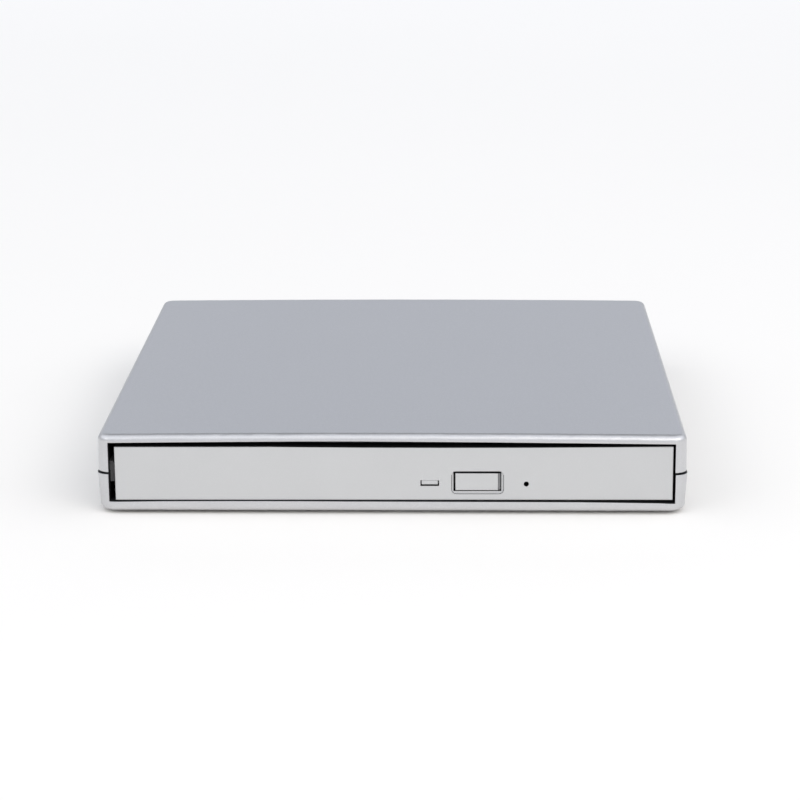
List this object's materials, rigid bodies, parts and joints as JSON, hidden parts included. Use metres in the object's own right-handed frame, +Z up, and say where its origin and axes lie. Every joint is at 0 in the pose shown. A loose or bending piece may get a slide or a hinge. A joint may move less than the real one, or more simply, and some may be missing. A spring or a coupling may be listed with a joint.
{
  "type": "external disc drive",
  "caption": "Slim external tray-loading disc drive: two-half plastic casing, sliding tray with eject button, spindle, clamp hub and travelling laser pickup.",
  "frame": {"origin": "middle of the footprint, on the surface that the rubber feet stand on", "axes": "+Z up; the tray opens towards -Y; +X to the right as seen from the front"},
  "size_m": [0.1358, 0.1396, 0.0192],
  "materials": {
    "casing_paint": "satin silver paint outside, bare dark plastic inside",
    "bezel_plastic": "fine matte moulded plastic",
    "light_guide": "milky clear plastic",
    "black_plastic": "moulded",
    "guide_plastic": "natural acetal",
    "plated_steel": "zinc-plated pressed sheet",
    "black_cover": "satin black",
    "ground_steel": "ground and polished",
    "fasteners": "plated",
    "spring_steel": "drawn wire",
    "rubber": "matte",
    "foam": "closed-cell foam",
    "circuit_board": "solder mask",
    "chips": "moulded packages",
    "white_plastic": "acetal",
    "rotor_steel": "turned",
    "motor_core": "enamelled copper windings on a laminated core",
    "magnets": "nickel plated",
    "cast_alloy": "die cast",
    "lens_glass": "coated",
    "ribbon": "printed polyester film"
  },
  "bodies": {
    "enclosure": {"top_shell": "casing_paint", "bottom_shell": "casing_paint", "rubber_feet": "rubber", "casing_screws": "fasteners", "foam_strips": "foam", "bridge_board": "circuit_board", "bridge_chips": "chips", "usb_socket_shell": "plated_steel", "usb_socket_insert": "black_plastic", "power_jack": "black_plastic", "drive_socket": "black_plastic", "drive_pan": "plated_steel", "drive_lid": "plated_steel", "lid_screws": "fasteners", "rail_guides": "guide_plastic", "connector_board": "circuit_board", "connector_plug": "black_plastic", "eject_plunger": "white_plastic", "eject_spring": "spring_steel", "flat_cable": "ribbon"},
    "left_rail": {"left_rail": "plated_steel"},
    "right_rail": {"right_rail": "plated_steel"},
    "tray": {"tray_frame": "black_plastic", "front_bezel": "bezel_plastic", "light_pipe": "light_guide", "front_board": "circuit_board", "push_switch": "black_plastic", "status_led": "white_plastic", "tray_underplate": "plated_steel", "underplate_screws": "fasteners", "optics_cover": "black_cover", "cover_screws": "fasteners", "main_board": "circuit_board", "main_board_chips": "chips", "board_screws": "fasteners", "latch_coil": "black_plastic", "hook_pivot": "ground_steel", "hook_spring": "spring_steel", "traverse_plate": "plated_steel", "guide_rods": "ground_steel", "damper_bushes": "rubber", "damper_screws": "fasteners", "spindle_stator": "motor_core", "stepper_motor": "plated_steel"},
    "button": {"eject_button": "bezel_plastic"},
    "spindle": {"spindle_rotor": "rotor_steel", "spindle_shaft": "ground_steel", "turntable_pad": "rubber", "centre_hub": "white_plastic"},
    "claw_1": {"hub_claw_1": "white_plastic"},
    "claw_2": {"hub_claw_2": "white_plastic"},
    "claw_3": {"hub_claw_3": "white_plastic"},
    "pickup": {"pickup_body": "cast_alloy", "pickup_cover": "plated_steel", "actuator_magnets": "magnets", "rack_follower": "black_plastic"},
    "lens": {"lens_holder": "white_plastic", "objective_lens": "lens_glass"},
    "lead_screw": {"lead_screw": "ground_steel"},
    "latch": {"latch_hook": "black_plastic"}
  },
  "joints": [
    {"name": "tray_slide", "type": "slide", "parent": "enclosure", "child": "tray", "axis": [0, -1, 0], "range_m": [0, 0.122], "deforming": ["flat_cable"]},
    {"name": "left_rail_slide", "type": "slide", "parent": "enclosure", "child": "left_rail", "axis": [0, -1, 0], "range_m": [0, 0.061]},
    {"name": "right_rail_slide", "type": "slide", "parent": "enclosure", "child": "right_rail", "axis": [0, -1, 0], "range_m": [0, 0.061]},
    {"name": "eject_press", "type": "slide", "parent": "tray", "child": "button", "axis": [0, 1, 0], "range_m": [0, 0.0006], "stiffness_N_per_m": 400, "springref_m": -0.0005},
    {"name": "spindle_spin", "type": "hinge", "parent": "tray", "child": "spindle", "pos_m": [0.00038, -0.0035, 0.00852], "axis": [0, 0, 1], "continuous": true},
    {"name": "claw_1_press", "type": "slide", "parent": "spindle", "child": "claw_1", "axis": [-0.2588, 0.9659, 0], "range_m": [0, 0.0004], "stiffness_N_per_m": 200, "springref_m": -0.0003},
    {"name": "claw_2_press", "type": "slide", "parent": "spindle", "child": "claw_2", "axis": [-0.7071, -0.7071, 0], "range_m": [0, 0.0004], "stiffness_N_per_m": 200, "springref_m": -0.0003},
    {"name": "claw_3_press", "type": "slide", "parent": "spindle", "child": "claw_3", "axis": [0.9659, -0.2588, 0], "range_m": [0, 0.0004], "stiffness_N_per_m": 200, "springref_m": -0.0003},
    {"name": "pickup_slide", "type": "slide", "parent": "tray", "child": "pickup", "axis": [-0.7071, -0.7071, 0], "range_m": [0, 0.0345]},
    {"name": "lead_screw_turn", "type": "hinge", "parent": "tray", "child": "lead_screw", "pos_m": [-0.00768, -0.03787, 0.00822], "axis": [-0.7071, -0.7071, 0], "range_deg": [0, 4145]},
    {"name": "lens_focus", "type": "slide", "parent": "pickup", "child": "lens", "axis": [0, 0, 1], "range_m": [-0.0004, 0.0004], "stiffness_N_per_m": 200},
    {"name": "latch_swing", "type": "hinge", "parent": "tray", "child": "latch", "pos_m": [0.04539, -0.0565, 0.00602], "axis": [0, 0, 1], "range_deg": [0, 12]}
  ],
  "couplings": [
    {"joint": "left_rail_slide", "follows": "tray_slide", "ratio": 0.5},
    {"joint": "right_rail_slide", "follows": "tray_slide", "ratio": 0.5},
    {"joint": "lead_screw_turn", "follows": "pickup_slide", "rad_per_m": 2094.4}
  ]
}
